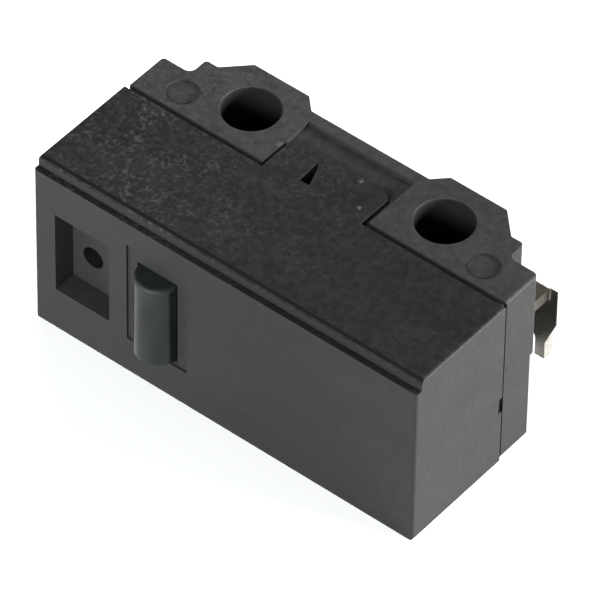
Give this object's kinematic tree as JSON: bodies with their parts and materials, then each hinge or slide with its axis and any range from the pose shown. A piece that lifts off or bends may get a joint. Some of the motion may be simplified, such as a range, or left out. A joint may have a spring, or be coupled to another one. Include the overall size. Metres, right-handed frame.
{
  "type": "micro switch",
  "caption": "Small black snap-action switch with a round-nosed plunger bar, a lever pocket, through mounting holes and bent solder legs.",
  "frame": {"origin": "midway between the two mounting-hole axes, on the large side face that the switch lies on", "axes": "+X along the case away from the lever pocket, +Y from the plunger face back to the legs, +Z along the mounting holes"},
  "size_m": [0.0128, 0.008, 0.0058],
  "materials": {
    "case_plastic": "fine moulded texture, black",
    "plunger_plastic": "smooth dark grey-green moulding",
    "terminal_metal": "silver plated brass, bright",
    "spring_metal": "thin beryllium copper leaf, satin",
    "contact_metal": "silver alloy rivets, bright"
  },
  "bodies": {
    "switch_case": {"cover": "case_plastic", "base": "case_plastic", "common_terminal": "terminal_metal", "normally_open_terminal": "terminal_metal", "normally_closed_terminal": "terminal_metal", "normally_open_contact": "contact_metal", "normally_closed_contact": "contact_metal"},
    "push_plunger": {"plunger": "plunger_plastic"},
    "contact_blade": {"snap_blade": "spring_metal", "moving_contact": "contact_metal"}
  },
  "joints": [
    {"name": "plunger_slide", "type": "slide", "parent": "switch_case", "child": "push_plunger", "axis": [0, 1, 0], "range_m": [0, 0.0005], "stiffness_N_per_m": 2000, "deforming": ["snap_blade"]},
    {"name": "blade_swing", "type": "hinge", "parent": "switch_case", "child": "contact_blade", "pos_m": [-0.00493, -0.00292, 0.0029], "axis": [0, 0, 1], "range_deg": [0, 2.8]}
  ],
  "couplings": [
    {"joint": "blade_swing", "follows": "plunger_slide", "rad_per_m": 97.7}
  ]
}
